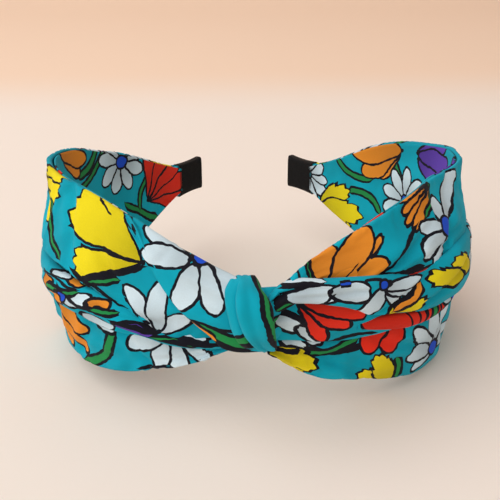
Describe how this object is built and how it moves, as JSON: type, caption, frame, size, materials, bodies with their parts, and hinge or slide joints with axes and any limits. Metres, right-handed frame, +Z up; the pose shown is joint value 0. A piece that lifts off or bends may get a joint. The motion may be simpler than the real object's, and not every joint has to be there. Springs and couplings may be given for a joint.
{
  "type": "knotted headband",
  "caption": "Springy hoop headband covered in gathered printed cotton with a tied knot at the front and black caps on its two tips.",
  "frame": {"origin": "middle of the bottom of the object's box, on the surface that it lies on", "axes": "+X across the head, -Y towards the knot, +Y towards the two tips, +Z up through the height of the band; left and right are as seen from in front of the knot"},
  "size_m": [0.1438, 0.1458, 0.06],
  "materials": {
    "printed_cotton": "printed plain-weave cotton, matt with a faint sheen",
    "lining_cotton": "the same printed cotton, seen on the inside",
    "hoop_plastic": "plain moulded springy strip, hidden by the cloth",
    "tip_ribbon": "matt black ribbon, glued down"
  },
  "bodies": {
    "crown": {"hoop_crown": "hoop_plastic", "crown_lining": "lining_cotton", "knot_core": "printed_cotton", "knot_wrap": "printed_cotton"},
    "left_arm": {"hoop_left_arm": "hoop_plastic", "left_lining_panel": "lining_cotton", "left_upper_wing": "printed_cotton", "left_middle_pleat": "printed_cotton", "left_lower_wing": "printed_cotton", "left_tip_cap": "tip_ribbon"},
    "right_arm": {"hoop_right_arm": "hoop_plastic", "right_lining_panel": "lining_cotton", "right_upper_wing": "printed_cotton", "right_band_pleat": "printed_cotton", "right_red_pleat": "printed_cotton", "right_lower_wing": "printed_cotton", "right_tip_cap": "tip_ribbon"}
  },
  "joints": [
    {"name": "left_arm_flex", "type": "hinge", "parent": "crown", "child": "left_arm", "pos_m": [-0.01589, -0.05428, 0.03], "axis": [0, 0, 1], "range_deg": [-4, 15], "stiffness_Nm_per_rad": 0.9},
    {"name": "right_arm_flex", "type": "hinge", "parent": "crown", "child": "right_arm", "pos_m": [0.01589, -0.05428, 0.03], "axis": [0, 0, -1], "range_deg": [-4, 15], "stiffness_Nm_per_rad": 0.9}
  ]
}
